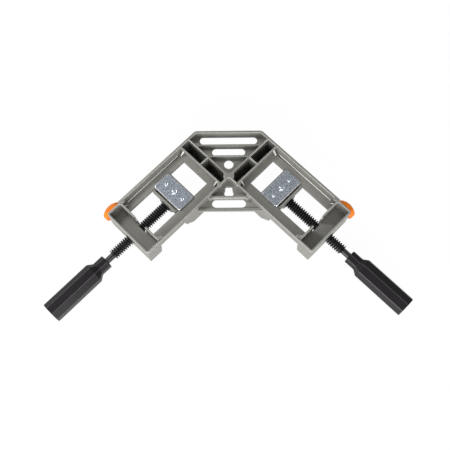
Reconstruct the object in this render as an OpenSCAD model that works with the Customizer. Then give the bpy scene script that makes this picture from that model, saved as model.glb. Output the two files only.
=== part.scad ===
// Double-handled corner clamp with quick-release screws, lying on its fences with the bench side up.
// Origin: the work corner, where the two fence faces meet, on the work plane. +Z points to the bench side.
// The left arm runs along -X and the right arm along -Y. They are mirror images in the line X = Y.
// Pieces of an arm are drawn in arm coordinates: X outward from the fence face, Y across from the work corner.

/* [Base casting] */
// Thickness of the base plate
plate_t = 4; // [3:0.5:6]
// Height of the rim above the plate
rim_h = 8; // [6:0.5:10]
// Thickness of the outer rim
rim_t = 2.4; // [2:0.1:3]
// Thickness of the arms' inner rims
inner_rim_t = 1.5; // [1.2:0.1:2.2]
// From the work corner to an arm's inner edge
arm_inset = 11.6; // [10.5:0.1:14]
// Width of an arm
arm_w = 59.4; // [56:0.2:68]
// Length of the long opening in an arm
opening_len = 75.9; // [66:0.2:95]
// Width of the long opening in an arm
opening_w = 33.6; // [30:0.2:37]
// Ledge between the fence face and the long opening
fence_ledge = 5.6; // [4.5:0.1:8]

/* [Fences] */
// Height of the fences and end housings on the work side
fence_h = 23; // [21:0.5:35]
// Thickness of the fence walls
fence_wall = 1.5; // [1.2:0.1:2.2]
// Thickness of the fence's closed work side
fence_top_t = 2.5; // [2:0.1:4]
// From the mirror line to the end of a fence
fence_gap = 4.4; // [3.5:0.1:5]
// From the mirror line to the first pocket in a fence
pocket_gap = 5; // [4.6:0.1:6.5]
// Diameter of the relief hole at the work corner
relief_d = 11.2; // [9:0.1:12]

/* [Web] */
// Thickness of the web, which lies higher than the arms' work side
web_t = 2.4; // [1.8:0.1:3.4]
// Height of the web's ribs above the plate
rib_h = 6; // [4:0.5:8]
// Thickness of the web's ribs
rib_t = 1.6; // [1.2:0.1:2.4]
// Height of the rib behind the corner slot above the plate
corner_rib_h = 4; // [2:0.5:6]
// Height of the lip on the web's inner edge above the plate
lip_h = 1; // [0.5:0.1:2]
// From the work corner to the web's outer edge, along the mirror line
web_edge = 66.6; // [65:0.1:74]
// Radius of the web's outer corners
web_corner_r = 6; // [4:0.5:9]
// From the work corner to the web's inner edge, along the mirror line
inner_edge = 16.5; // [16:0.1:20]
// Spacing of the two web ribs
rib_pitch = 12; // [11.2:0.1:14]
// Width of the bench slots
slot_w = 8.4; // [6:0.2:8.6]
// Length of the outer bench slot
long_slot = 58.6; // [40:0.2:62]
// Length of the two shorter bench slots
short_slot = 33.6; // [24:0.2:36]
// Diameter of the bench bolt hole
bolt_hole_d = 9.6; // [6:0.1:11]

/* [End housings] */
// Length of an end housing along its arm
housing_len = 18.1; // [17.4:0.1:24]
// Thickness of the housing walls
housing_wall = 1.7; // [1.4:0.1:2.4]
// Depth of the housing's pocket below the rim
housing_pocket = 13.8; // [10:0.1:14]
// How far the housing leans in over its height
housing_draft = 1.5; // [0.5:0.1:1.6]
// Radius of the housing's upright corners
housing_corner_r = 3; // [1:0.1:4]
// How far the housing's outer side stands back from the rim
housing_step = 1.6; // [1:0.1:3]

/* [Screws] */
// Depth of the screw axis below the work plane
screw_depth = 11.3; // [10.5:0.1:11.8]
// Outside diameter of the screw thread
screw_d = 11; // [9:0.2:11.2]
// Length of the screw from the jaw's face to the end of its thread
screw_reach = 97.5; // [92:0.5:130]
// Diameter of the neck and tang
neck_d = 6.3; // [5:0.1:7]
// Length of the bare neck before the grip
neck_len = 8.7; // [5:0.1:14]
// Diameter of the keeper groove near the screw's tip
groove_d = 7; // [6:0.1:8]

/* [Grips] */
// Width of the eight-sided grip across its flats
grip_af = 20.4; // [16:0.2:21]
// Length of the grip's straight body
grip_body = 56; // [40:0.5:90]
// Length of the grip's sloping shoulder
grip_shoulder = 5; // [3:0.1:8]
// Width of the grip's collar across its flats
collar_af = 13.6; // [10:0.1:15]
// Length of the grip's collar
collar_len = 11.7; // [8:0.1:16]
// How far the left and right grips are turned about their screws
grip_turn = [22, 0]; // [0:1:45]

/* [Jaws] */
// How far the left and right jaws stand open
jaw_open = [23.9, 19.8]; // [5:0.1:34]
// Length of a jaw along its arm
jaw_len = 24; // [23:0.1:30]
// Length of the jaw's flat top
jaw_top = 14.5; // [10:0.1:18]
// Inset of the jaw from the arm's edges
jaw_inset = 0.7; // [0.3:0.1:3]
// Diameter of the boss round the screw
jaw_boss_d = 18; // [16:0.2:20]
// Length of the tongue in the arm's opening
tongue_len = 20; // [18.8:0.1:22]

/* [Retaining plates] */
// Length of a retaining plate along its arm
keeper_plate_len = 20.5; // [18:0.1:22]
// How far a retaining plate overlaps each side of the opening
plate_overlap = 1.6; // [1:0.1:4]
// Thickness of a retaining plate
keeper_plate_t = 2; // [1.2:0.1:3]
// Radius of a retaining plate's corners
keeper_plate_r = 2.5; // [1:0.1:4]
// Diameter of the centre rivet's head
big_head_d = 7; // [5:0.1:9]
// Diameter of the side rivets' heads
small_head_d = 4.6; // [3:0.1:6]
// From the centre rivet to a side rivet
rivet_pitch = 11.2; // [9:0.1:12.5]

/* [Quick release] */
// How far a release button travels
release_travel = 3; // [2:0.1:3.5]
// Width of the half nut along the arm
nut_w = 12; // [10:0.1:12.4]
// Height of the half nut
nut_h = 14.4; // [13.6:0.1:14.8]
// Width of a release button along the arm
button_w = 21; // [15:0.1:22]
// Height of a release button
button_h = 17; // [15:0.1:18]
// Straight skirt of a release button below its dome
button_skirt = 5; // [1:0.1:6]
// Radius of a release button's dome
button_dome_r = 15.8; // [12:0.1:18]
// Wire diameter of a release spring
wire_d = 1.2; // [0.8:0.1:1.6]
// Outside diameter of a release spring
spring_d = 10.4; // [9:0.1:11]
// Turns in a release spring
spring_turns = 6; // [4:0.5:9]

/* [Fits] */
// Running gap between sliding flats
slide_gap = 0.2; // [0.15:0.05:0.4]
// Gap that keeps faces of moving pieces apart
free_gap = 0.3; // [0.2:0.05:0.5]
// Radial play of the screw in the jaw and in the half nut
screw_play = 0.08; // [0.03:0.01:0.1]
// Radial play of a rivet in its hole
rivet_play = 0.05; // [0.02:0.01:0.1]

/* [Hidden] */
SIDES = ["left", "right"];
ARM_PIECES = ["jaw", "retainer_plate", "centre_rivet", "side_rivets", "spindle", "grip",
              "spindle_keeper", "half_nut", "release_button", "release_spring"];

$fn = 64;
over = 1;
diagonal = sqrt(2);

// Heights
rim_z = plate_t + rim_h;
floor_z = -fence_h;
screw_z = -screw_depth;

// Arm places
arm_outer = arm_inset + arm_w;
arm_mid = arm_inset + arm_w / 2;
rim_inner = arm_inset + inner_rim_t;
rim_outer = arm_outer - rim_t;
housing_u = fence_ledge + opening_len;
housing_end = housing_u + housing_len;
housing_mid = housing_u + housing_len / 2;
fence_back = rim_inner;

// Web places along the mirror line
slot_margin = 0.6;
rib_margin = 0.1;
hole_margin = 0.95;
corner_margin = 1.1;
outer_rib_gap = 2.65;
outer_slot_at = web_edge - rim_t - slot_margin - slot_w / 2;
outer_rib_at = outer_slot_at - slot_w / 2 - outer_rib_gap - rib_t / 2;
inner_rib_at = outer_rib_at - rib_pitch;
middle_slot_at = outer_rib_at - rib_t / 2 - rib_margin - slot_w / 2;
bolt_hole_at = inner_rib_at - rib_t / 2 - hole_margin - bolt_hole_d / 2;
corner_slot_at = rim_t + corner_margin + slot_w / 2 - inner_edge;
corner_rib_at = corner_slot_at + slot_w / 2 + rib_margin + rim_t / 2;
crossing_at = (arm_inset + inner_rim_t / 2) * diagonal;
crossing_len = 5.5;
crossing_shift = 0.6;
relief_at = 3.9;
pad_r = 2.3;
web_z = plate_t - web_t;
reach = 2 * arm_outer;

// Jaw places, from the jaw's face
tongue_start = fence_ledge + 2 * free_gap;
tongue_end = tongue_start + tongue_len;
tongue_w = opening_w - 4 * slide_gap;
tongue_z = plate_t + slide_gap;
jaw_z = floor_z + 2 * slide_gap;
jaw_slope_z = -screw_depth - 0.4;
keeper_plate_u = 2.1;
keeper_plate_w = opening_w + 2 * plate_overlap;
rivet_u = keeper_plate_u + keeper_plate_len / 2;
rivet_r = 2;
small_rivet_r = 1.4;
rivet_bottom = -3;
bore_floor = jaw_len - 13;
keeper_t = 2;
keeper_u = jaw_len - 6;
keeper_w = 16;
keeper_bottom = screw_z - 4.5;

// Screw places, from the jaw's face
screw_r = screw_d / 2;
screw_tip = bore_floor + free_gap;
grip_start = screw_reach + neck_len;
grip_end = grip_start + collar_len + grip_shoulder + grip_body;
tang_len = collar_len + grip_shoulder + grip_body * 0.6;
screw_chamfer = 0.8;

// Quick-release places
channel_w = nut_w + 2 * slide_gap;
channel_h = nut_h + 3 * slide_gap;
spring_wall = 2.4;
channel_start = arm_inset + spring_wall;
housing_side = arm_outer - housing_step;
nut_wall = 4;
nut_start = arm_mid - screw_r - nut_wall - 2;
spring_start = channel_start;
spring_seat = wire_d / 2 + slide_gap;
spring_spigot_d = spring_d - 2 * wire_d - 4 * slide_gap;
spring_spigot_len = 6;
button_face = housing_side + release_travel + free_gap;
peg_d = 5;
peg_len = 6;

// Puts a piece drawn in arm coordinates on the left or the right arm.
module on_arm(side) {
    if (side == "left") mirror([1, 0, 0]) children();
    else rotate([0, 0, -90]) children();
}

// Puts a piece on its jaw, which stands open by that side's amount.
module on_jaw(side) {
    on_arm(side) translate([jaw_open[side == "left" ? 0 : 1], 0, 0]) children();
}

// Turns an upright cylinder or revolve so that it lies on the screw's axis.
module on_screw() {
    translate([0, arm_mid, screw_z]) rotate([0, 90, 0]) children();
}

// Extrudes an outline drawn in the XY plane through a range of heights.
module between(z0, z1) {
    translate([0, 0, z0]) linear_extrude(z1 - z0) children();
}

// Extrudes an outline drawn as (along the arm, height) from one place across the arm to another.
module across(y0, y1) {
    translate([0, y1, 0]) rotate([90, 0, 0]) linear_extrude(y1 - y0) children();
}

// Extrudes an outline drawn as (across the arm, height) from one place along the arm to another.
module along(x0, x1) {
    translate([x0, 0, 0]) rotate([90, 0, 90]) linear_extrude(x1 - x0) children();
}

// Rectangle given by its corners.
module rect(x0, y0, x1, y1) {
    translate([x0, y0]) square([x1 - x0, y1 - y0]);
}

// Rectangle given by its corners, with round corners.
module round_rect(x0, y0, x1, y1, r) {
    rect(x0 + r, y0, x1 - r, y1);
    rect(x0, y0 + r, x1, y1 - r);
    for (x = [x0 + r, x1 - r], y = [y0 + r, y1 - r]) translate([x, y]) circle(r);
}

// Slot across the mirror line, centred on it at a distance from the work corner.
module cross_slot(at, length) {
    rotate(45) {
        translate([at - slot_w / 2, slot_w / 2 - length / 2]) square([slot_w, length - slot_w]);
        for (end = [-1, 1]) translate([at, end * (length - slot_w) / 2]) circle(slot_w / 2);
    }
}

// Rib across the mirror line that ends inside the walls it joins, with a round pad at each end.
module cross_rib(at, thickness) {
    half = abs(at - crossing_at);
    pads = half - pad_r;
    rotate(45) {
        translate([at - thickness / 2, -half]) square([thickness, 2 * half]);
        for (y = [-pads, pads]) translate([at, y]) circle(pad_r);
    }
}

// Outline of the base plate with round web corners, moved in by a margin, and by another at the arms' inner edges.
module base_outline(margin, inner_margin) {
    low = arm_inset + inner_margin;
    high = arm_outer - margin;
    far = housing_u + housing_wall;
    edge = (web_edge - margin) * diagonal;
    inner = (inner_edge - margin) * diagonal;
    r = web_corner_r - margin;
    turn = [edge - high - r * tan(22.5), high - r];
    arc = [for (a = [45 : 9 : 90]) turn + r * [cos(a), sin(a)]];
    mirrored = [for (i = [len(arc) - 1 : -1 : 0]) [arc[i][1], arc[i][0]]];
    polygon(concat(
        [[-far, low], [-inner - low, low], [low, -inner - low], [low, -far], [high, -far]],
        mirrored, arc, [[-far, high]]
    ));
}

// Plan of the rim round the base plate.
module rim_ring() {
    difference() {
        base_outline(0, 0);
        base_outline(rim_t, inner_rim_t);
    }
}

// Quarter of the plan on the inner side of the crossing of the arms' inner rims.
module corner_quarter() {
    rect(-reach, -reach, arm_inset, arm_inset);
}

// Plan of the web between the arms, where the plate is thinner.
module web_zone() {
    intersection() {
        base_outline(rim_t, inner_rim_t);
        rect(rim_inner, rim_inner, reach, reach);
    }
    intersection() {
        base_outline(-over, 0);
        corner_quarter();
    }
}

// Plan of the walls that stand on the plate's bench side as high as the rim.
module wall_plan() {
    cut = pocket_gap * diagonal;
    difference() {
        rim_ring();
        corner_quarter();
    }
    for (side = SIDES) on_arm(side) {
        rect(-arm_outer, arm_inset, housing_u + housing_wall, rim_inner);
        rect(-fence_wall, arm_inset, 0, arm_outer);
        rect(-rim_inner, arm_mid - inner_rim_t / 2, -fence_wall / 2, arm_mid + inner_rim_t / 2);
        polygon([[cut - rim_inner, arm_inset], [-rim_inner, arm_inset], [-rim_inner, rim_inner + cut]]);
        translate([0, rim_inner]) circle(pad_r);
        for (y = [rim_inner + pad_r / 2, rim_outer]) translate([housing_u - pad_r * 0.8, y]) circle(pad_r);
    }
    rotate(45) translate([crossing_at + crossing_shift, 0]) square([crossing_len, 2 * pocket_gap], center = true);
}

// Fence on the work side of the plate. Its end leans away from the work corner.
module fence_block() {
    start = fence_gap * diagonal;
    lean = 0.45;
    between(floor_z, plate_t)
        polygon([[0, start], [0, arm_outer], [-fence_back, arm_outer], [-fence_back, start + lean * fence_back]]);
}

// Two deep pockets that hollow a fence from the bench side, with a cross rib between them.
module fence_pockets() {
    cut = pocket_gap * diagonal;
    front = -fence_wall;
    back = -arm_inset;
    between(floor_z + fence_top_t, rim_z + over) {
        polygon([[front, rim_inner], [front, arm_mid - inner_rim_t / 2], [back, arm_mid - inner_rim_t / 2],
                 [back, cut - back], [cut - rim_inner, rim_inner]]);
        rect(back, arm_mid + inner_rim_t / 2, front, rim_outer);
    }
}

// End housing: leaning end wall, and an upright outer side that stands back from the rim behind the button.
module housing_block() {
    intersection() {
        between(floor_z, rim_z)
            round_rect(housing_u, arm_inset, housing_end, housing_side, housing_corner_r);
        across(arm_inset, housing_side)
            polygon([[housing_u, rim_z], [housing_u, 0], [housing_u + housing_draft, floor_z],
                     [housing_end - housing_draft, floor_z], [housing_end, rim_z]]);
        along(housing_u, housing_end)
            polygon([[arm_inset, rim_z], [arm_inset + housing_draft, floor_z], [housing_side, floor_z],
                     [housing_side, rim_z]]);
    }
    between(0, rim_z) rect(housing_u, arm_inset, housing_mid, housing_side);
}

// Outline of the notch in the housing's inner wall: one upright flank, and one that swings in over the screw.
module notch_outline() {
    inner_room = 3.2;
    outer_room = 1.2;
    swing = 5.5;
    inner = arm_mid - screw_r - inner_room;
    outer = arm_mid + screw_r + outer_room;
    drop = rim_z - screw_z - screw_r;
    flank = [for (t = [0 : 0.1 : 1]) [outer - swing * (1 - cos(180 * t)) / 2, rim_z - drop * t]];
    polygon(concat([[inner, screw_z], [inner, rim_z + over], [outer, rim_z + over]], flank, [[arm_mid, screw_z]]));
}

// Pocket in the housing's bench side, the half nut's channel and the way through for the screw.
module housing_hollows() {
    notch_r = screw_r + 2 * free_gap;
    pocket_floor = rim_z - housing_pocket;
    between(pocket_floor, rim_z + over)
        round_rect(housing_u + housing_wall, arm_inset + housing_wall,
                   housing_end - housing_wall, housing_side - housing_wall, housing_corner_r / 2);
    along(housing_mid - channel_w / 2, housing_mid + channel_w / 2)
        rect(channel_start, screw_z - channel_h / 2, arm_outer + over, screw_z + channel_h / 2);
    along(housing_u - over, housing_u + housing_wall + over) notch_outline();
    on_screw() translate([0, 0, housing_u - over]) cylinder(r = notch_r, h = housing_len + 2 * over);
}

// Small casting details of an arm: gussets at the foot of the fence and of the housing, and the rim's sloping foot.
module arm_details() {
    gusset_len = 4;
    gusset_off = 4.5;
    gusset_h = rim_h * 0.7;
    gusset_tip = 0.5;
    rim_foot = 0.9;
    low = web_z + over / 2;
    for (y = [rim_inner + gusset_off, rim_outer - gusset_off], end = [0, 1])
        translate([end * housing_u, 0, 0]) mirror([end, 0, 0]) across(y - rib_t / 2, y + rib_t / 2)
            polygon([[-fence_wall / 2, low], [gusset_len, low], [gusset_len, plate_t + gusset_tip],
                     [0, plate_t + gusset_h], [-fence_wall / 2, plate_t + gusset_h]]);
    along(-fence_wall / 2, housing_u + housing_wall / 2)
        polygon([[rim_outer - rim_foot, low], [rim_outer - rim_foot, plate_t], [rim_outer, rim_z],
                 [arm_outer - rim_t / 2, rim_z], [arm_outer - rim_t / 2, low]]);
}

// One aluminium casting: ribbed web, two arms, two hollow fences and two end housings.
module frame() {
    low = web_z + over / 2;
    color("#87837a") difference() {
        union() {
            difference() {
                between(0, plate_t) base_outline(0, 0);
                between(-over, web_z) web_zone();
            }
            between(low, rim_z) wall_plan();
            between(low, plate_t + rib_h) for (at = [outer_rib_at, inner_rib_at]) cross_rib(at, rib_t);
            between(low, plate_t + corner_rib_h) cross_rib(corner_rib_at, rim_t);
            between(low, plate_t + lip_h) intersection() {
                rim_ring();
                corner_quarter();
            }
            for (side = SIDES) on_arm(side) {
                fence_block();
                housing_block();
                arm_details();
            }
        }
        for (side = SIDES) on_arm(side) {
            between(-over, plate_t + over)
                rect(fence_ledge, arm_mid - opening_w / 2, housing_u, arm_mid + opening_w / 2);
            fence_pockets();
            housing_hollows();
        }
        between(-over, plate_t + over) {
            cross_slot(outer_slot_at, long_slot);
            cross_slot(middle_slot_at, short_slot);
            cross_slot(corner_slot_at, short_slot);
            rotate(45) translate([bolt_hole_at, 0]) circle(d = bolt_hole_d);
            rotate(45) translate([relief_at, 0]) circle(d = relief_d);
        }
    }
}

// Holes for the plate's three rivets.
module rivet_holes(z0, z1) {
    for (step = [-1, 0, 1])
        translate([rivet_u, arm_mid + step * rivet_pitch, z0])
            cylinder(r = (step == 0 ? rivet_r : small_rivet_r) + rivet_play, h = z1 - z0);
}

// Slot that takes the keeper, open on the tongue's bench side.
module keeper_slot() {
    translate([keeper_u - keeper_t / 2 - rivet_play, arm_mid - keeper_w / 2 - rivet_play,
               keeper_bottom - free_gap])
        cube([keeper_t + 2 * rivet_play, keeper_w + 2 * rivet_play, tongue_z - keeper_bottom + over]);
}

// Sliding jaw: upright face, sloping back with a boss round the screw, and a tongue in the arm's opening.
module jaw() {
    color("#87837a") difference() {
        union() {
            across(arm_inset + jaw_inset, arm_outer - jaw_inset)
                polygon([[0, -slide_gap], [0, jaw_z], [jaw_top, jaw_z],
                         [jaw_len, jaw_slope_z], [jaw_len, -slide_gap]]);
            between(-jaw_inset, tongue_z)
                rect(tongue_start, arm_mid - tongue_w / 2, jaw_len, arm_mid + tongue_w / 2);
            between(-slide_gap - plate_t / 2, tongue_z)
                rect(jaw_len - over, arm_mid - tongue_w / 2, tongue_end, arm_mid + tongue_w / 2);
            on_screw() translate([0, 0, bore_floor]) cylinder(d = jaw_boss_d, h = jaw_len + over - bore_floor);
        }
        on_screw() translate([0, 0, bore_floor]) cylinder(r = screw_r + screw_play, h = jaw_len);
        keeper_slot();
        rivet_holes(rivet_bottom, tongue_z + over);
    }
}

// Plated steel plate that holds the tongue in the arm.
module retainer_plate() {
    color("#8291a0") difference() {
        between(tongue_z, tongue_z + keeper_plate_t)
            round_rect(keeper_plate_u, arm_mid - keeper_plate_w / 2,
                       keeper_plate_u + keeper_plate_len, arm_mid + keeper_plate_w / 2, keeper_plate_r);
        rivet_holes(tongue_z - over, tongue_z + keeper_plate_t + over);
    }
}

// Rivet with a low domed head, which stands on the plate.
module rivet(shank_r, head_d) {
    head_r = head_d / 2;
    head_h = head_d * 0.2;
    dome_r = (head_r * head_r + head_h * head_h) / (2 * head_h);
    head_z = tongue_z + keeper_plate_t;
    translate([0, 0, rivet_bottom]) cylinder(r = shank_r, h = head_z - rivet_bottom + head_h / 2);
    intersection() {
        translate([0, 0, head_z]) cylinder(r = head_r + over, h = head_h + over);
        translate([0, 0, head_z + head_h - dome_r]) sphere(dome_r);
    }
}

module centre_rivet() {
    color("#a8b0b8") translate([rivet_u, arm_mid, 0]) rivet(rivet_r, big_head_d);
}

module side_rivets() {
    for (step = [-1, 1])
        color("#a8b0b8") translate([rivet_u, arm_mid + step * rivet_pitch, 0])
            rivet(small_rivet_r, small_head_d);
}

// Blackened steel screw, turned from one bar: grooved tip, threaded length, neck and tang.
module spindle() {
    groove_r = groove_d / 2;
    neck_r = neck_d / 2;
    groove_start = keeper_u - keeper_t / 2 - free_gap;
    groove_end = keeper_u + keeper_t / 2 + free_gap;
    color("#19191c") on_screw() rotate_extrude()
        polygon([
            [0, screw_tip], [screw_r - screw_chamfer, screw_tip], [screw_r, screw_tip + screw_chamfer],
            [screw_r, groove_start], [groove_r, groove_start], [groove_r, groove_end], [screw_r, groove_end],
            [screw_r, screw_reach - screw_chamfer], [screw_r - screw_chamfer, screw_reach],
            [neck_r, screw_reach], [neck_r, grip_start + tang_len], [0, grip_start + tang_len]
        ]);
}

// Eight-sided moulded grip with a sloping shoulder and a collar, pressed on the screw's tang.
module grip(turn) {
    collar_r = collar_af / 2 / cos(22.5);
    body_r = grip_af / 2 / cos(22.5);
    color("#2d292d") on_screw() rotate([0, 0, turn]) difference() {
        translate([0, 0, grip_start]) union() {
            cylinder(r = collar_r, h = collar_len, $fn = 8);
            translate([0, 0, collar_len]) cylinder(r1 = collar_r, r2 = body_r, h = grip_shoulder, $fn = 8);
            translate([0, 0, collar_len + grip_shoulder]) cylinder(r = body_r, h = grip_body, $fn = 8);
        }
        translate([0, 0, grip_start - over]) cylinder(r = neck_d / 2 + rivet_play, h = tang_len + over);
    }
}

// Horseshoe clip that drops into the jaw from the bench side and rides in the screw's groove.
module spindle_keeper() {
    mouth_r = groove_d / 2 + free_gap;
    color("#a8b0b8") along(keeper_u - keeper_t / 2, keeper_u + keeper_t / 2) difference() {
        rect(arm_mid - keeper_w / 2, keeper_bottom, arm_mid + keeper_w / 2, tongue_z);
        translate([arm_mid, screw_z]) circle(mouth_r);
        rect(arm_mid - mouth_r, keeper_bottom - over, arm_mid + mouth_r, screw_z);
    }
}

// Half nut: a block in the housing's channel with a long hole, bearing on the screw on the spring's side.
module half_nut() {
    hole_r = screw_r + screw_play;
    slack = release_travel + free_gap;
    color("#3a3a3c") difference() {
        union() {
            along(housing_mid - nut_w / 2, housing_mid + nut_w / 2) difference() {
                rect(nut_start, screw_z - nut_h / 2, housing_side, screw_z + nut_h / 2);
                for (step = [0, slack]) translate([arm_mid + step, screw_z]) circle(hole_r);
                rect(arm_mid, screw_z - hole_r, arm_mid + slack, screw_z + hole_r);
            }
            translate([housing_mid, nut_start + over, screw_z]) rotate([90, 0, 0])
                cylinder(d = spring_spigot_d, h = spring_spigot_len + over);
        }
        translate([housing_mid, housing_side + over, screw_z]) rotate([90, 0, 0])
            cylinder(r = peg_d / 2 + rivet_play, h = peg_len + over + free_gap);
    }
}

// Moulded push button: domed cap with a stem that follows the half nut and a peg that holds it.
module release_button() {
    cap_r = button_w / 2;
    cap_h = button_skirt + button_dome_r - sqrt(button_dome_r * button_dome_r - cap_r * cap_r);
    color("#f57814") {
        translate([housing_mid, button_face, screw_z]) intersection() {
            rotate([-90, 0, 0]) cylinder(r = cap_r, h = cap_h + over);
            translate([0, cap_h - button_dome_r, 0]) sphere(button_dome_r);
            translate([-cap_r - over, 0, -button_h / 2]) cube([2 * cap_r + 2 * over, cap_h + over, button_h]);
        }
        along(housing_mid - nut_w / 2, housing_mid + nut_w / 2)
            rect(housing_side, screw_z - nut_h / 2, button_face + over, screw_z + nut_h / 2);
        translate([housing_mid, housing_side + over, screw_z]) rotate([90, 0, 0])
            cylinder(d = peg_d, h = peg_len + over);
    }
}

// Coil spring between the housing's inner wall and the half nut, as a tube swept along a helix.
module release_spring() {
    sides = 8;
    steps = 14;
    coil_r = (spring_d - wire_d) / 2;
    wire_r = wire_d / 2;
    first = spring_start + spring_seat;
    rise = nut_start - spring_seat - first;
    rings = steps * spring_turns;
    points = [
        for (i = [0 : rings]) for (k = [0 : sides - 1])
            let (a = 360 * i / steps, b = 360 * k / sides, r = coil_r + wire_r * cos(b))
            [r * cos(a), r * sin(a), rise * i / rings + wire_r * sin(b)]
    ];
    walls = [
        for (i = [0 : rings - 1]) for (k = [0 : sides - 1])
            let (n = (k + 1) % sides)
            [i * sides + k, (i + 1) * sides + k, (i + 1) * sides + n, i * sides + n]
    ];
    first_cap = [for (k = [0 : sides - 1]) k];
    last_cap = [for (k = [sides - 1 : -1 : 0]) rings * sides + k];
    color("#9aa0a6") translate([housing_mid, first, screw_z]) rotate([-90, 0, 0])
        polyhedron(points, concat([first_cap], walls, [last_cap]));
}

frame();
for (side = SIDES) {
    on_jaw(side) jaw();
    on_jaw(side) retainer_plate();
    on_jaw(side) centre_rivet();
    on_jaw(side) side_rivets();
    on_jaw(side) spindle();
    on_jaw(side) grip(grip_turn[side == "left" ? 0 : 1]);
    on_jaw(side) spindle_keeper();
    on_arm(side) half_nut();
    on_arm(side) release_button();
    on_arm(side) release_spring();
}
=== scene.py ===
import math

import bpy
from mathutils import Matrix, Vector


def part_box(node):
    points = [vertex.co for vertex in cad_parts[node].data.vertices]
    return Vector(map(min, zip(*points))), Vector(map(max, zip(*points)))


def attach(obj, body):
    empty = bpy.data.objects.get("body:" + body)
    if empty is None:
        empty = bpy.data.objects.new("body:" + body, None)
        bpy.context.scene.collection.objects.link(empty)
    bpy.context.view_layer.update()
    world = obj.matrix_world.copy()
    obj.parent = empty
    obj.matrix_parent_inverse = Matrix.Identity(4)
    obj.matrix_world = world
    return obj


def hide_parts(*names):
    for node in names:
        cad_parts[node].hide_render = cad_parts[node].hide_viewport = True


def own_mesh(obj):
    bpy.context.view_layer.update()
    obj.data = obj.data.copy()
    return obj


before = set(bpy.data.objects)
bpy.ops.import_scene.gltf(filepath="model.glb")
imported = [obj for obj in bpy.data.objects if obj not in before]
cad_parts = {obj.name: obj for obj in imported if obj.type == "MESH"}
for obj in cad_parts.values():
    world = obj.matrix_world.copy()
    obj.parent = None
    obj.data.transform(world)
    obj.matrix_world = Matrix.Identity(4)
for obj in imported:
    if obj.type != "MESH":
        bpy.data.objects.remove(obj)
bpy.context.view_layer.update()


# Cast frame: the clamp's body, with its web, two arms, hollow fences and end housings in one piece.
# Pressure die-cast aluminium under a thin grey coat. Everything else slides on it or is fitted into it.
MM = 0.001
SAME_SPOT = 0.002 * MM
SAME_PLANE = math.radians(0.5)


def copy_of(node, name, weld=0.02 * MM, whole_flats=False):
    """Copies a CAD node's solid as a piece of its own, its triangles welded, or joined to whole flats."""
    bpy.ops.object.select_all(action="DESELECT")
    piece = bpy.data.objects.new(name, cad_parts[node].data.copy())
    bpy.context.collection.objects.link(piece)
    piece.select_set(True)
    bpy.context.view_layer.objects.active = piece
    bpy.ops.mesh.customdata_custom_splitnormals_clear()
    bpy.ops.object.mode_set(mode="EDIT")
    bpy.ops.mesh.select_all(action="SELECT")
    bpy.ops.mesh.remove_doubles(threshold=weld)
    if whole_flats:
        bpy.ops.mesh.dissolve_limited(angle_limit=SAME_PLANE)
    bpy.ops.object.mode_set(mode="OBJECT")
    return piece


def round_edges(piece, radius, segments=2, sharper_than=30, smooth_below=20):
    """Rounds a piece's sharp edges and shades its curved faces smooth, with its flats left flat."""
    bevel = piece.modifiers.new("edge_round", "BEVEL")
    bevel.width = radius
    bevel.segments = segments
    bevel.limit_method = "ANGLE"
    bevel.angle_limit = math.radians(sharper_than)
    bevel.use_clamp_overlap = False
    bpy.ops.object.modifier_apply(modifier=bevel.name)
    bpy.ops.object.shade_smooth_by_angle(angle=math.radians(smooth_below))


def draw_line(name, points):
    """Draws a chain of edges through points given as (radius, height), in the XZ plane."""
    bpy.ops.object.select_all(action="DESELECT")
    bpy.ops.mesh.primitive_plane_add(size=MM)
    line = bpy.context.object
    line.name = name
    bpy.ops.object.mode_set(mode="EDIT")
    bpy.ops.mesh.merge(type="CENTER")
    bpy.ops.transform.translate(value=(points[0][0], 0, points[0][1]))
    for start, end in zip(points, points[1:]):
        step = (end[0] - start[0], 0, end[1] - start[1])
        bpy.ops.mesh.extrude_vertices_move(TRANSFORM_OT_translate={"value": step})
    bpy.ops.object.mode_set(mode="OBJECT")
    return line


def draw_prism(outline, length):
    """Draws a closed outline given as (x, z) points and draws it out along +Y."""
    prism = draw_line("prism", outline + outline[:1])
    bpy.ops.object.mode_set(mode="EDIT")
    bpy.ops.mesh.select_all(action="SELECT")
    bpy.ops.mesh.remove_doubles(threshold=SAME_SPOT)
    bpy.ops.mesh.select_all(action="SELECT")
    bpy.ops.mesh.edge_face_add()
    bpy.ops.mesh.extrude_region_move(TRANSFORM_OT_translate={"value": (0, length, 0)})
    bpy.ops.mesh.select_all(action="SELECT")
    bpy.ops.mesh.normals_make_consistent(inside=False)
    bpy.ops.object.mode_set(mode="OBJECT")
    return prism


def set_down(piece, spot, turn=(0, 0, 0)):
    """Turns and moves a piece to its place, in its mesh."""
    piece.rotation_euler = turn
    piece.location = spot
    bpy.ops.object.transform_apply(location=True, rotation=True, scale=True)


def unite(piece, other, operation="UNION"):
    """Joins another closed piece to this one as a single skin, or cuts it away with DIFFERENCE."""
    step = piece.modifiers.new("step", "BOOLEAN")
    step.operation = operation
    step.solver = "EXACT"
    step.object = other
    bpy.ops.object.select_all(action="DESELECT")
    piece.select_set(True)
    bpy.context.view_layer.objects.active = piece
    bpy.ops.object.modifier_apply(modifier=step.name)
    bpy.data.objects.remove(other)


def fit(piece, body, node, finish):
    """Gives a piece its finish and sets it on its body in the place of its CAD node."""
    piece.data.materials.clear()
    piece.data.materials.append(finish)
    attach(piece, body)
    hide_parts(node)


def linear(code):
    """Turns an sRGB hex colour into linear RGBA."""
    parts = [int(code[i:i + 2], 16) / 255 for i in (1, 3, 5)]
    return [p / 12.92 if p <= 0.04045 else ((p + 0.055) / 1.055) ** 2.4 for p in parts] + [1.0]


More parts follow.
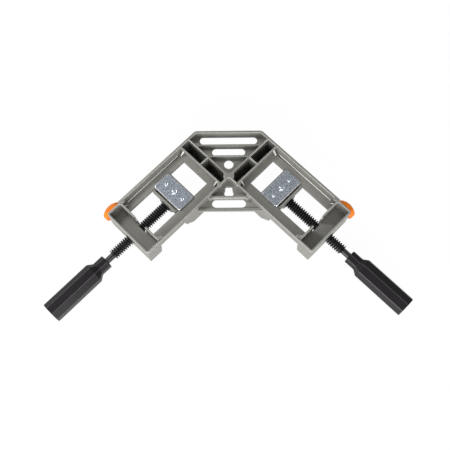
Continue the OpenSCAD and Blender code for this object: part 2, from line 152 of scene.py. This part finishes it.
def add_node(tree, kind, inputs=None, **settings):
    """Adds a node with its settings, and sets each input to a value or links it to another node's output."""
    node = tree.nodes.new(kind)
    for name, value in settings.items():
        setattr(node, name, value)
    for key, value in (inputs or {}).items():
        if isinstance(value, bpy.types.NodeSocket):
            tree.links.new(value, node.inputs[key])
        else:
            node.inputs[key].default_value = value
    return node


def new_finish(name):
    """Starts a node material and returns it with its tree, its shader and Object coordinates."""
    finish = bpy.data.materials.new(name)
    finish.use_nodes = True
    tree = finish.node_tree
    place = add_node(tree, "ShaderNodeTexCoord").outputs["Object"]
    return finish, tree, tree.nodes["Principled BSDF"], place


# The coat is matt and a little uneven, so flat faces look softly mottled, and its corners get a brown
# painted shade.
# The rim and rib tops, which rest on the bench, are rubbed to an even grey; sloping faces get a pale painted
# highlight.
coat_dark, coat_light = linear("#666560"), linear("#767570")
corner_shade_brown, rubbed_grey, highlight_pale = linear("#544a40"), linear("#6d6c67"), linear("#c6c6c2")
mottle_size, grain_size, grain_depth = 6 * MM, 0.7 * MM, 0.06 * MM
shelter_reach = 5 * MM
rim_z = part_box("frame")[1].z
rub_from, rub_full = 7.0 * MM, rim_z - 1.5 * MM
highlight_from, highlight_full = 4.1 * MM, 4.3 * MM

grey_coat, tree, shader, place = new_finish("grey_coated_cast_aluminium")
mottle = add_node(tree, "ShaderNodeTexNoise", {"Vector": place, "Scale": 1 / mottle_size, "Detail": 4.0})
tone = add_node(tree, "ShaderNodeMix", {0: mottle.outputs["Fac"], 6: coat_dark, 7: coat_light},
                data_type="RGBA")
# Painted shade: the occlusion of nearby faces mixes the coat towards brown in corners and recesses.
corner_occlusion = add_node(tree, "ShaderNodeAmbientOcclusion", {"Distance": shelter_reach},
                   only_local=True, samples=8)
depth = add_node(tree, "ShaderNodeMapRange", {"Value": corner_occlusion.outputs["AO"], "From Min": 0.15,
                                              "From Max": 0.6, "To Min": 0.55, "To Max": 0.0})
corner_shaded = add_node(tree, "ShaderNodeMix", {0: depth.outputs["Result"], 6: tone.outputs[2], 7: corner_shade_brown},
                   data_type="RGBA")
height = add_node(tree, "ShaderNodeSeparateXYZ", {"Vector": place})
lean = add_node(tree, "ShaderNodeSeparateXYZ", {"Vector": place.node.outputs["Normal"]})
level = add_node(tree, "ShaderNodeMapRange", {"Value": lean.outputs["Z"], "From Min": 0.8, "From Max": 0.95})
top = add_node(tree, "ShaderNodeMapRange", {"Value": height.outputs["Z"], "From Min": rub_from,
                                            "From Max": rub_full, "To Max": level.outputs["Result"]})
rubbed = add_node(tree, "ShaderNodeMix", {0: top.outputs["Result"], 6: corner_shaded.outputs[2], 7: rubbed_grey},
                  data_type="RGBA")
# Painted highlight: sloping faces above the ledges, edges, ridges and gusset tops, are mixed to a pale metal
# grey.
rise = add_node(tree, "ShaderNodeMapRange", {"Value": lean.outputs["Z"], "From Min": 0.3, "From Max": 0.45})
fall = add_node(tree, "ShaderNodeMapRange", {"Value": lean.outputs["Z"], "From Min": 0.9, "From Max": 0.98,
                                             "To Min": 1.0, "To Max": 0.0})
sloping = add_node(tree, "ShaderNodeMath", {0: rise.outputs["Result"], 1: fall.outputs["Result"]},
                   operation="MULTIPLY")
slope_highlight = add_node(tree, "ShaderNodeMapRange", {"Value": height.outputs["Z"], "From Min": highlight_from,
                                             "From Max": highlight_full, "To Max": sloping.outputs[0]})
coat = add_node(tree, "ShaderNodeMix", {0: slope_highlight.outputs["Result"], 6: rubbed.outputs[2], 7: highlight_pale},
                data_type="RGBA")
grain = add_node(tree, "ShaderNodeTexNoise", {"Vector": place, "Scale": 1 / grain_size, "Detail": 2.0})
peel = add_node(tree, "ShaderNodeBump", {"Height": grain.outputs["Fac"], "Strength": 0.25,
                                         "Distance": grain_depth})
tree.links.new(coat.outputs[2], shader.inputs["Base Color"])
tree.links.new(peel.outputs["Normal"], shader.inputs["Normal"])
shader.inputs["Metallic"].default_value = 0.25
shader.inputs["Roughness"].default_value = 0.48

cast_edge_r = 0.3 * MM
cast_frame = copy_of("frame", "cast_frame", weld=0.1 * MM)
frame_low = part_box("frame")[0]

# The fences stop short of each other at the work corner, and the floor is seen through the gap.
# Each step is a distance from the corner and half of the gap's width there, in millimetres.
gap_steps = ((1.0, 5.2), (3.3, 4.7), (11.9, 4.6), (13.0, 4.0), (17.8, 3.3), (25, 3.3))
gap_side = [(half * MM, away * MM) for away, half in gap_steps]
gap_top = 1.5 * MM
cut_over = MM
gap = draw_prism(gap_side + [(-x, z) for x, z in reversed(gap_side)], gap_top - frame_low.z + cut_over)
set_down(gap, (0, 0, gap_top), (math.radians(-90), 0, math.radians(-45)))
unite(cast_frame, gap, "DIFFERENCE")

# A low ridge runs along the foot of each outer rim. Its section is given across the arm, in millimetres.
ridge_section = ((67.5, 3.6), (67.5, 4.0), (66.9, 4.6), (66.2, 4.0), (66.2, 3.6))
ridge_line = [(x * MM, z * MM) for x, z in ridge_section]
ridge_from, ridge_len = 5.5 * MM, 70 * MM
ridge_places = (
    ((-ridge_from, 0, 0), (0, 0, math.radians(90))),
    ((0, -ridge_from - ridge_len, 0), (0, 0, 0)),
)
for spot, turn in ridge_places:
    ridge = draw_prism(ridge_line, ridge_len)
    set_down(ridge, spot, turn)
    unite(cast_frame, ridge)

round_edges(cast_frame, cast_edge_r, sharper_than=60)
fit(cast_frame, "frame", "frame", grey_coat)


# Sliding jaws: each presses the work on its fence, and its tongue runs in the arm's long opening.
# Die-cast aluminium with the same grey coat as the frame. The screw turns in the boss on its back.
# A groove across the tongue, along the outer edge of the plate, leaves a narrow strip at its end.
SIDES = ("left", "right")
jaw_edge_r = 0.4 * MM
groove_half = 14.8 * MM
groove_w, groove_depth = 1.5 * MM, 4.5 * MM
groove_line = [(-groove_w, -groove_depth), (0, -groove_depth), (0, cut_over), (-groove_w, cut_over)]

for side in SIDES:
    jaw = copy_of(f"{side}_jaw", f"{side}_sliding_jaw")
    plate_low, plate_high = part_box(f"{side}_retainer_plate")
    tongue_mid = (plate_low + plate_high) / 2
    groove = draw_prism(groove_line, 2 * groove_half)
    if side == "left":
        set_down(groove, (plate_low.x, tongue_mid.y - groove_half, plate_low.z))
    else:
        set_down(groove, (tongue_mid.x + groove_half, plate_low.y, plate_low.z), (0, 0, math.radians(90)))
    unite(jaw, groove, "DIFFERENCE")
    round_edges(jaw, jaw_edge_r)
    fit(jaw, f"{side}_jaw", f"{side}_jaw", grey_coat)


# Spindle keepers: horseshoe clips in the jaws that hold the screw tips by their grooves.
# Stamped from steel strip, zinc plated, and dropped in from the bench side before the plate goes on.
keeper_edge_r = 0.2 * MM

# Bright zinc has a bluish cast with soft spangles, and smears what it mirrors. Its edges get a near-white
# painted highlight.
zinc_edge_highlight, zinc_pale, zinc_blue = linear("#f2f4f6"), linear("#979ca3"), linear("#666c74")
spangle_size, spangle_depth = 1.6 * MM, 0.1 * MM

zinc_plating, tree, shader, place = new_finish("zinc_plated_steel")
spangle = add_node(tree, "ShaderNodeTexNoise", {"Vector": place, "Scale": 1 / spangle_size, "Detail": 5.0,
                                                "Roughness": 0.65})
spread = add_node(tree, "ShaderNodeMapRange", {"Value": spangle.outputs["Fac"], "From Min": 0.38,
                                               "From Max": 0.62})
plating = add_node(tree, "ShaderNodeMix", {0: spread.outputs["Result"], 6: zinc_blue, 7: zinc_pale},
                   data_type="RGBA")
smear = add_node(tree, "ShaderNodeMapRange", {"Value": spangle.outputs["Fac"], "To Min": 0.22,
                                              "To Max": 0.42})
ripple = add_node(tree, "ShaderNodeBump", {"Height": spangle.outputs["Fac"], "Strength": 0.3,
                                           "Distance": spangle_depth})
# Painted highlight: faces that lean away from level, the rolled edges, are mixed to near white.
lean = add_node(tree, "ShaderNodeSeparateXYZ", {"Vector": place.node.outputs["Normal"]})
flat = add_node(tree, "ShaderNodeMapRange", {"Value": lean.outputs["Z"], "From Min": 0.75, "From Max": 0.99})
highlighted_plating = add_node(tree, "ShaderNodeMix", {0: flat.outputs["Result"], 6: zinc_edge_highlight, 7: plating.outputs[2]},
                 data_type="RGBA")
tree.links.new(highlighted_plating.outputs[2], shader.inputs["Base Color"])
tree.links.new(smear.outputs["Result"], shader.inputs["Roughness"])
tree.links.new(ripple.outputs["Normal"], shader.inputs["Normal"])
shader.inputs["Metallic"].default_value = 1.0

for side in SIDES:
    keeper = copy_of(f"{side}_spindle_keeper", f"{side}_horseshoe_keeper")
    round_edges(keeper, keeper_edge_r)
    fit(keeper, f"{side}_jaw", f"{side}_spindle_keeper", zinc_plating)


# Retaining plates: each is riveted on a jaw's tongue and overlaps the opening, so the jaw can't drop out.
# Blanked from steel sheet and zinc plated, with the edges rolled over a little by the tool.
rolled_edge_r = 0.85 * MM

for side in SIDES:
    plate = copy_of(f"{side}_retainer_plate", f"{side}_retaining_plate", whole_flats=True)
    round_edges(plate, rolled_edge_r, segments=3, smooth_below=8)
    fit(plate, f"{side}_jaw", f"{side}_retainer_plate", zinc_plating)


# Rivets: one large and two small ones fix each retaining plate to the tongue.
# Zinc-plated steel. The punch left a low dome with a groove and a ring round it.
shank_end, head_seat = -3.0 * MM, 6.2 * MM
centre_shank_r, centre_head_r = 2.0 * MM, 3.5 * MM
side_shank_r, side_head_r = 1.4 * MM, 2.3 * MM
rivet_steps = 40
turned_smooth = math.radians(35)

# The head's section from its rim to its middle, as shares of its radius and of its rise.
rise_share = 0.4
head_section = ((1.0, 0.0), (1.0, 0.3), (0.94, 0.45), (0.86, 0.45), (0.76, 0.3), (0.68, 0.3), (0.6, 0.5),
                (0.5, 0.7), (0.36, 0.86), (0.18, 0.95), (0.0, 0.98))


def spin_round(line, steps):
    """Spins a drawn line about the Z axis into a closed turned piece."""
    bpy.context.view_layer.objects.active = line
    bpy.ops.object.mode_set(mode="EDIT")
    bpy.ops.mesh.select_all(action="SELECT")
    bpy.ops.mesh.spin(steps=steps, angle=math.tau, center=(0, 0, 0), axis=(0, 0, 1))
    bpy.ops.mesh.select_all(action="SELECT")
    bpy.ops.mesh.remove_doubles(threshold=SAME_SPOT)
    bpy.ops.mesh.normals_make_consistent(inside=False)
    bpy.ops.object.mode_set(mode="OBJECT")
    bpy.ops.object.shade_smooth_by_angle(angle=turned_smooth)


def make_rivet(name, shank_r, head_r, spot):
    """Turns one rivet: plain shank, and a head with a ring, a groove and a low dome."""
    rise = rise_share * head_r
    shank = [(0, shank_end), (shank_r, shank_end), (shank_r, head_seat)]
    head = [(out * head_r, head_seat + up * rise) for out, up in head_section]
    rivet = draw_line(name, shank + head)
    spin_round(rivet, rivet_steps)
    set_down(rivet, spot)
    return rivet


# Rivet heads are the same plating, hammered smoother, so they mirror more sharply.
rivet_dull, rivet_bright = linear("#7c848c"), linear("#a4abb2")
dent_size, dent_depth = 1.2 * MM, 0.1 * MM

rivet_steel, tree, shader, place = new_finish("peened_zinc_plated_rivet")
dent = add_node(tree, "ShaderNodeTexNoise", {"Vector": place, "Scale": 1 / dent_size, "Detail": 2.0})
shine = add_node(tree, "ShaderNodeMix", {0: dent.outputs["Fac"], 6: rivet_dull, 7: rivet_bright},
                 data_type="RGBA")
peening = add_node(tree, "ShaderNodeBump", {"Height": dent.outputs["Fac"], "Strength": 0.35,
                                            "Distance": dent_depth})
tree.links.new(shine.outputs[2], shader.inputs["Base Color"])
tree.links.new(peening.outputs["Normal"], shader.inputs["Normal"])
shader.inputs["Metallic"].default_value = 1.0
shader.inputs["Roughness"].default_value = 0.3

for side in SIDES:
    low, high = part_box(f"{side}_centre_rivet")
    middle = (low + high) / 2
    rivet = make_rivet(f"{side}_plate_centre_rivet", centre_shank_r, centre_head_r, (middle.x, middle.y, 0))
    fit(rivet, f"{side}_jaw", f"{side}_centre_rivet", rivet_steel)

    low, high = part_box(f"{side}_side_rivets")
    first_spot = (low.x + side_head_r, low.y + side_head_r, 0)
    second_spot = (high.x - side_head_r, high.y - side_head_r, 0)
    first = make_rivet(f"{side}_plate_side_rivets", side_shank_r, side_head_r, first_spot)
    second = make_rivet("second_rivet", side_shank_r, side_head_r, second_spot)
    bpy.ops.object.select_all(action="DESELECT")
    second.select_set(True)
    first.select_set(True)
    bpy.context.view_layer.objects.active = first
    bpy.ops.object.join()
    fit(first, f"{side}_jaw", f"{side}_side_rivets", rivet_steel)


# Spindles: the clamp's screws, with a grooved tip in the jaw, a long thread, and a tang for the grip.
# Turned from steel bar with a coarse trapezoid thread, right-handed on both arms, then blackened.
# Lengths along the screw are taken from the front of its jaw.
pitch, crest_share = 2.5 * MM, 0.26
crest_r, root_r = 5.5 * MM, 3.75 * MM
thread_from, thread_to = 25.4 * MM, 97.5 * MM
tip_at, tip_bevel = 11.3 * MM, 0.8 * MM
keeper_groove_r, keeper_groove_from, keeper_groove_to = 3.5 * MM, 16.7 * MM, 19.3 * MM
collar_to = 25.8 * MM
core_r, core_from, core_to = 3.6 * MM, 26.4 * MM, 97.0 * MM
tang_r, tang_to = 3.15 * MM, 156.5 * MM
bar_line = [
    (0, tip_at), (crest_r - tip_bevel, tip_at), (crest_r, tip_at + tip_bevel), (crest_r, keeper_groove_from),
    (keeper_groove_r, keeper_groove_from), (keeper_groove_r, keeper_groove_to), (crest_r, keeper_groove_to),
    (crest_r, collar_to), (core_r, core_from), (core_r, core_to), (tang_r, core_to), (tang_r, tang_to),
    (0, tang_to),
]
bar_steps, thread_steps, spare_turns = 48, 40, 2
thread_weld = 0.005 * MM
facing = {"left": (0, math.radians(-90), 0), "right": (math.radians(90), 0, 0)}


def jaw_face_spot(side):
    """The point where a screw's axis meets the front of its jaw."""
    low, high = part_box(f"{side}_spindle")
    middle = (low + high) / 2
    if side == "left":
        return Vector((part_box("left_jaw")[1].x, middle.y, middle.z))
    return Vector((middle.x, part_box("right_jaw")[1].y, middle.z))


def make_screw(name):
    """Turns a screw along +Z, with its thread swept from one tooth and cut off square at both ends."""
    flat = crest_share * pitch
    flank = (pitch - 2 * flat) / 2
    below = thread_from - spare_turns * pitch
    tooth = draw_line("screw_thread", [
        (root_r, below), (root_r, below + flat), (crest_r, below + flat + flank),
        (crest_r, below + 2 * flat + flank), (root_r, below + pitch),
    ])
    sweep = tooth.modifiers.new("sweep", "SCREW")
    sweep.angle = math.tau
    sweep.screw_offset = pitch
    sweep.iterations = math.ceil((thread_to - thread_from) / pitch) + 2 * spare_turns
    sweep.steps = sweep.render_steps = thread_steps
    sweep.use_merge_vertices = True
    bpy.ops.object.modifier_apply(modifier=sweep.name)
    bpy.ops.object.mode_set(mode="EDIT")
    bpy.ops.mesh.select_all(action="SELECT")
    bpy.ops.mesh.remove_doubles(threshold=thread_weld)
    for cut, away in ((thread_from, -1), (thread_to, 1)):
        bpy.ops.mesh.select_all(action="SELECT")
        bpy.ops.mesh.bisect(plane_co=(0, 0, cut), plane_no=(0, 0, away), use_fill=True, clear_outer=True)
    bpy.ops.mesh.select_all(action="SELECT")
    bpy.ops.mesh.normals_make_consistent(inside=False)
    bpy.ops.object.mode_set(mode="OBJECT")
    bar = draw_line(name, bar_line)
    spin_round(bar, bar_steps)
    unite(bar, tooth)
    bpy.ops.object.shade_smooth_by_angle(angle=turned_smooth)
    return bar


# Blackening is a thin dark oxide with an oily sheen. The crests of the thread glint sharply, and the roots
# get a painted shade: their occlusion turns the sheen down, so the turns stand out as black and grey lines.
oxide_black, oxide_grey = linear("#060607"), linear("#151518")
wear_size, root_shade_reach = 4 * MM, 2 * MM

black_oxide, tree, shader, place = new_finish("blackened_steel")
wear = add_node(tree, "ShaderNodeTexNoise", {"Vector": place, "Scale": 1 / wear_size, "Detail": 3.0})
oxide = add_node(tree, "ShaderNodeMix", {0: wear.outputs["Fac"], 6: oxide_black, 7: oxide_grey},
                 data_type="RGBA")
gloss = add_node(tree, "ShaderNodeMapRange", {"Value": wear.outputs["Fac"], "To Min": 0.28, "To Max": 0.45})
# Painted shade: occlusion in the thread roots turns their specular level down.
root_occlusion = add_node(tree, "ShaderNodeAmbientOcclusion", {"Distance": root_shade_reach}, only_local=True, samples=8)
painted_sheen = add_node(tree, "ShaderNodeMapRange", {"Value": root_occlusion.outputs["AO"], "From Min": 0.45,
                                              "From Max": 0.9, "To Min": 0.05, "To Max": 0.5})
tree.links.new(oxide.outputs[2], shader.inputs["Base Color"])
tree.links.new(gloss.outputs["Result"], shader.inputs["Roughness"])
tree.links.new(painted_sheen.outputs["Result"], shader.inputs["Specular IOR Level"])
shader.inputs["Metallic"].default_value = 0.2

for side in SIDES:
    screw = make_screw(f"{side}_screw")
    set_down(screw, jaw_face_spot(side), facing[side])
    fit(screw, f"{side}_spindle", f"{side}_spindle", black_oxide)


# Grips: eight-sided handles with a sloping shoulder and a collar, pressed on the screws' tangs.
# Moulded in black plastic, with soft edges between the flats.
grip_edge_r = 0.8 * MM
flats = 8
across = {"left": "Y", "right": "X"}
first_flat = {"left": 0.0, "right": math.pi / flats}

# The plastic is charcoal with a faint purple cast, and a fine moulded grain spreads its sheen.
# The edges are painted paler as a highlight: a normal that points midway between two flats marks them.
# The steep side flats get a painted sheen, a higher specular level than on the top ones.
plastic_dark, plastic_light, edge_highlight_grey = linear("#0a080a"), linear("#131013"), linear("#403d40")
cloud_size, grit_size, grit_depth = 9 * MM, 0.5 * MM, 0.04 * MM

for side in SIDES:
    grip_plastic, tree, shader, place = new_finish(f"{side}_moulded_black_plastic")
    cloud = add_node(tree, "ShaderNodeTexNoise", {"Vector": place, "Scale": 1 / cloud_size, "Detail": 3.0})
    charcoal = add_node(tree, "ShaderNodeMix", {0: cloud.outputs["Fac"], 6: plastic_dark, 7: plastic_light},
                        data_type="RGBA")
    # Painted highlight: the edges between the flats are mixed to a paler grey.
    lean = add_node(tree, "ShaderNodeSeparateXYZ", {"Vector": place.node.outputs["Normal"]})
    turn = add_node(tree, "ShaderNodeMath", {0: lean.outputs["Z"], 1: lean.outputs[across[side]]},
                    operation="ARCTAN2")
    phase = add_node(tree, "ShaderNodeMath", {0: turn.outputs[0], 1: flats, 2: -flats * first_flat[side]},
                     operation="MULTIPLY_ADD")
    wave = add_node(tree, "ShaderNodeMath", {0: phase.outputs[0]}, operation="COSINE")
    edge_highlight = add_node(tree, "ShaderNodeMapRange", {"Value": wave.outputs[0], "From Min": 0.3,
                                                    "From Max": -0.6})
    plastic = add_node(tree, "ShaderNodeMix", {0: edge_highlight.outputs["Result"], 6: charcoal.outputs[2],
                                               7: edge_highlight_grey}, data_type="RGBA")
    grit = add_node(tree, "ShaderNodeTexNoise", {"Vector": place, "Scale": 1 / grit_size, "Detail": 1.0})
    pebble = add_node(tree, "ShaderNodeBump", {"Height": grit.outputs["Fac"], "Strength": 0.2,
                                               "Distance": grit_depth})
    # Painted sheen: the steep side flats get a higher specular level than the top ones.
    painted_sheen = add_node(tree, "ShaderNodeMapRange", {"Value": lean.outputs["Z"], "From Min": 0.45,
                                                  "From Max": 0.65, "To Min": 0.36, "To Max": 0.13})
    tree.links.new(plastic.outputs[2], shader.inputs["Base Color"])
    tree.links.new(pebble.outputs["Normal"], shader.inputs["Normal"])
    tree.links.new(painted_sheen.outputs["Result"], shader.inputs["Specular IOR Level"])
    shader.inputs["Roughness"].default_value = 0.4
    grip = copy_of(f"{side}_grip", f"{side}_handle_grip", whole_flats=True)
    round_edges(grip, grip_edge_r, segments=3, smooth_below=8)
    fit(grip, f"{side}_spindle", f"{side}_grip", grip_plastic)


# Half nuts: blocks that slide across the housings and hold the screws by one side of their long holes.
# Machined steel, blackened like the screws.
nut_edge_r = 0.3 * MM

for side in SIDES:
    half_nut = copy_of(f"{side}_half_nut", f"{side}_sliding_half_nut")
    round_edges(half_nut, nut_edge_r)
    fit(half_nut, f"{side}_release", f"{side}_half_nut", black_oxide)


# Release buttons: domed caps on the half nuts' ends, pressed to free the screws.
# Moulded in orange ABS, with a smooth satin face.
button_edge_r = 0.5 * MM

# The orange is even and strong, with a broad soft highlight and only slight mould flow in it.
orange_deep, orange_light = linear("#d06410"), linear("#de7e18")
flow_size, flow_depth = 8 * MM, 0.1 * MM

orange_abs, tree, shader, place = new_finish("moulded_orange_abs")
flow = add_node(tree, "ShaderNodeTexNoise", {"Vector": place, "Scale": 1 / flow_size, "Detail": 2.0})
orange = add_node(tree, "ShaderNodeMix", {0: flow.outputs["Fac"], 6: orange_deep, 7: orange_light},
                  data_type="RGBA")
skin = add_node(tree, "ShaderNodeBump", {"Height": flow.outputs["Fac"], "Strength": 0.1,
                                         "Distance": flow_depth})
tree.links.new(orange.outputs[2], shader.inputs["Base Color"])
tree.links.new(skin.outputs["Normal"], shader.inputs["Normal"])
shader.inputs["Roughness"].default_value = 0.45
shader.inputs["Specular IOR Level"].default_value = 0.2

for side in SIDES:
    button = copy_of(f"{side}_release_button", f"{side}_push_button")
    round_edges(button, button_edge_r, segments=3)
    fit(button, f"{side}_release", f"{side}_release_button", orange_abs)


# Release springs: coils in the housings that push the half nuts back on the screws.
# Drawn spring-steel wire, wound cold. A spring stands on its seat.
wire_r, coil_r, coils = 0.6 * MM, 4.6 * MM, 6
wire_steps, coil_steps = 12, 36
wire_smooth = math.radians(50)
wound_from, wound_to = 14.8 * MM, 29.0 * MM
wire_angles = [math.tau * k / wire_steps for k in range(wire_steps + 1)]
wire_ring = [(coil_r + wire_r * math.cos(a), wire_r * math.sin(a)) for a in wire_angles]

# Drawn wire is bare and fairly bright, with fine drawing marks that only show as a satin sheen.
wire_dull, wire_bright = linear("#878c92"), linear("#adb2b8")
streak_size = 1.5 * MM

drawn_wire, tree, shader, place = new_finish("drawn_spring_steel")
streak = add_node(tree, "ShaderNodeTexNoise", {"Vector": place, "Scale": 1 / streak_size, "Detail": 3.0})
wire_tone = add_node(tree, "ShaderNodeMix", {0: streak.outputs["Fac"], 6: wire_dull, 7: wire_bright},
                     data_type="RGBA")
tree.links.new(wire_tone.outputs[2], shader.inputs["Base Color"])
shader.inputs["Metallic"].default_value = 1.0
shader.inputs["Roughness"].default_value = 0.32

for side in SIDES:
    spring = draw_line(f"{side}_coil_spring", wire_ring)
    bpy.ops.object.mode_set(mode="EDIT")
    bpy.ops.mesh.select_all(action="SELECT")
    bpy.ops.mesh.remove_doubles(threshold=SAME_SPOT)
    bpy.ops.object.mode_set(mode="OBJECT")
    winding = spring.modifiers.new("winding", "SCREW")
    winding.angle = math.tau
    winding.screw_offset = (wound_to - wound_from) / coils
    winding.iterations = coils
    winding.steps = winding.render_steps = coil_steps
    bpy.ops.object.modifier_apply(modifier=winding.name)
    bpy.ops.object.mode_set(mode="EDIT")
    bpy.ops.mesh.select_all(action="SELECT")
    bpy.ops.mesh.remove_doubles(threshold=SAME_SPOT)
    bpy.ops.mesh.fill_holes(sides=0)
    bpy.ops.mesh.select_all(action="SELECT")
    bpy.ops.mesh.normals_make_consistent(inside=False)
    bpy.ops.object.mode_set(mode="OBJECT")
    bpy.ops.object.shade_smooth_by_angle(angle=wire_smooth)
    low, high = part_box(f"{side}_release_spring")
    middle = (low + high) / 2
    if side == "left":
        set_down(spring, (middle.x, wound_from, middle.z), (math.radians(-90), 0, 0))
    else:
        set_down(spring, (wound_from, middle.y, middle.z), (0, math.radians(90), 0))
    fit(spring, "frame", f"{side}_release_spring", drawn_wire)
    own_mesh(spring)


# Studio: a white floor under the clamp, soft lamps, and a camera that looks down on the bench side.
# The floor and the sky are plain white to the eye, and the floor still takes a faint shadow.
floor_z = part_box("frame")[0].z
floor_size, floor_gap = 6.0, 0.05 * MM
floor_white = (0.9, 0.9, 0.9, 1.0)
glow_share = 0.97
sky_light = 0.35
white = (1.0, 1.0, 1.0, 1.0)


def seen_directly(tree):
    """Adds nodes that give 1 for rays from the camera, gloss or glass, and 0 for light on matt faces."""
    path = add_node(tree, "ShaderNodeLightPath")
    camera_ray, gloss_ray = path.outputs["Is Camera Ray"], path.outputs["Is Glossy Ray"]
    glass_ray = path.outputs["Is Transmission Ray"]
    gloss_or_camera = add_node(tree, "ShaderNodeMath", {0: camera_ray, 1: gloss_ray}, operation="MAXIMUM")
    any_of_them = add_node(tree, "ShaderNodeMath", {0: gloss_or_camera.outputs[0], 1: glass_ray},
                           operation="MAXIMUM")
    return any_of_them.outputs[0]


bpy.ops.object.select_all(action="DESELECT")
bpy.ops.mesh.primitive_plane_add(size=floor_size, location=(0, 0, floor_z - floor_gap))
floor = bpy.context.object
floor.name = "studio_floor"
white_floor, tree, shader, _ = new_finish("white_studio_floor")
shader.inputs["Base Color"].default_value = floor_white
shader.inputs["Roughness"].default_value = 0.9
glow = add_node(tree, "ShaderNodeEmission", {"Color": white, "Strength": 1.0})
share = add_node(tree, "ShaderNodeMath", {0: seen_directly(tree), 1: glow_share}, operation="MULTIPLY")
shown = add_node(tree, "ShaderNodeMixShader", {0: share.outputs[0], 1: shader.outputs["BSDF"],
                                               2: glow.outputs["Emission"]})
tree.links.new(shown.outputs["Shader"], tree.nodes["Material Output"].inputs["Surface"])
floor.data.materials.append(white_floor)

sky = bpy.data.worlds.new("studio_sky")
sky.use_nodes = True
bpy.context.scene.world = sky
tree = sky.node_tree
level = add_node(tree, "ShaderNodeMapRange", {"Value": seen_directly(tree), "To Min": sky_light,
                                              "To Max": 1.0})
tree.nodes["Background"].inputs["Color"].default_value = white
tree.links.new(level.outputs["Result"], tree.nodes["Background"].inputs["Strength"])

# Each lamp has its place and its width in metres and its power in watts, and points at the work corner.
lamps = (
    ("key_lamp", (-0.2, 0.85, 0.9), 0.3, 9.0),
    ("low_lamp", (-0.85, -0.3, 0.3), 0.6, 13.0),
    ("far_lamp", (-0.3, -0.85, 0.3), 0.6, 8.0),
)
for name, spot, width, watts in lamps:
    bpy.ops.object.light_add(type="AREA", location=spot)
    lamp = bpy.context.object
    lamp.name = name
    lamp.data.size = width
    lamp.data.energy = watts
    lamp.rotation_euler = (-Vector(spot)).to_track_quat("-Z", "Y").to_euler()

# The camera's place in metres, its turn in degrees and its lens are fitted to the photograph's view.
camera_spot = (-0.17275, -0.16995, 0.65751)
camera_turn = (17.91, 0.33, -45.42)
camera_lens, sensor_width = 56.04, 36.0
bpy.ops.object.camera_add(location=camera_spot)
camera = bpy.context.object
camera.rotation_euler = [math.radians(a) for a in camera_turn]
camera.data.lens = camera_lens
camera.data.sensor_width = sensor_width
bpy.context.scene.camera = camera
bpy.context.scene.view_settings.view_transform = "Standard"
